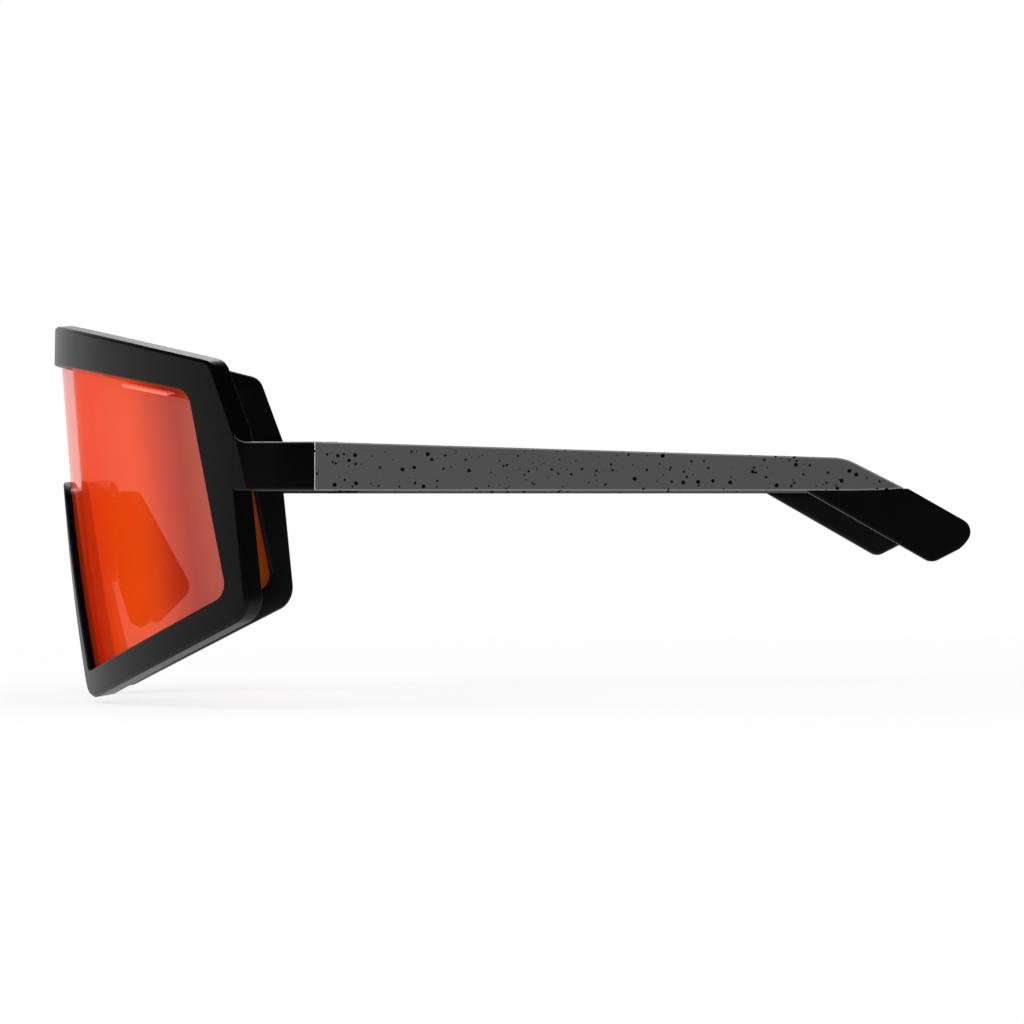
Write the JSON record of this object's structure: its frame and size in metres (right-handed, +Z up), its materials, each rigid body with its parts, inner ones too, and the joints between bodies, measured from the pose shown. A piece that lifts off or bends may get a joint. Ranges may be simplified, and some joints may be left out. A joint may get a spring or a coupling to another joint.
{
  "type": "sports sunglasses",
  "caption": "Wraparound sports sunglasses with one shield lens in a full rim, a nose piece with soft pads and straight folding temples with rubber tips.",
  "frame": {"origin": "on the mid-plane, where the bridge of the wearer's nose lies under the nose gap", "axes": "worn pose: +X to the wearer's left, +Y back along the temples, +Z up"},
  "size_m": [0.138, 0.1696, 0.0706],
  "materials": {
    "frame_plastic": "moulded matte black",
    "shield": "tinted polycarbonate with a warm mirror coating",
    "carrier_plastic": "moulded matte black",
    "pad_rubber": "soft matte",
    "core_steel": "drawn strip and wire",
    "screw_steel": "plain steel",
    "nut_brass": "plain brass",
    "temple_plastic": "dark grey with fine black speckle",
    "tip_rubber": "soft black"
  },
  "bodies": {
    "front": {"front_frame": "frame_plastic", "shield_lens": "shield", "nose_carrier": "carrier_plastic", "nose_core_wire": "core_steel", "nose_pad_left": "pad_rubber", "nose_pad_right": "pad_rubber", "hinge_screw_left": "screw_steel", "hinge_screw_right": "screw_steel", "hinge_nut_left": "nut_brass", "hinge_nut_right": "nut_brass"},
    "temple_left": {"temple_arm_left": "temple_plastic", "temple_core_left": "core_steel", "temple_tip_left": "tip_rubber", "hinge_block_left": "frame_plastic", "block_screws_left": "screw_steel"},
    "temple_right": {"temple_arm_right": "temple_plastic", "temple_core_right": "core_steel", "temple_tip_right": "tip_rubber", "hinge_block_right": "frame_plastic", "block_screws_right": "screw_steel"}
  },
  "joints": [
    {"name": "fold_left", "type": "hinge", "parent": "front", "child": "temple_left", "pos_m": [0.0625, 0.0467, 0.0082], "axis": [0, 0, 1], "range_deg": [0, 96]},
    {"name": "fold_right", "type": "hinge", "parent": "front", "child": "temple_right", "pos_m": [-0.0625, 0.0467, 0.0082], "axis": [0, 0, -1], "range_deg": [0, 85]}
  ]
}
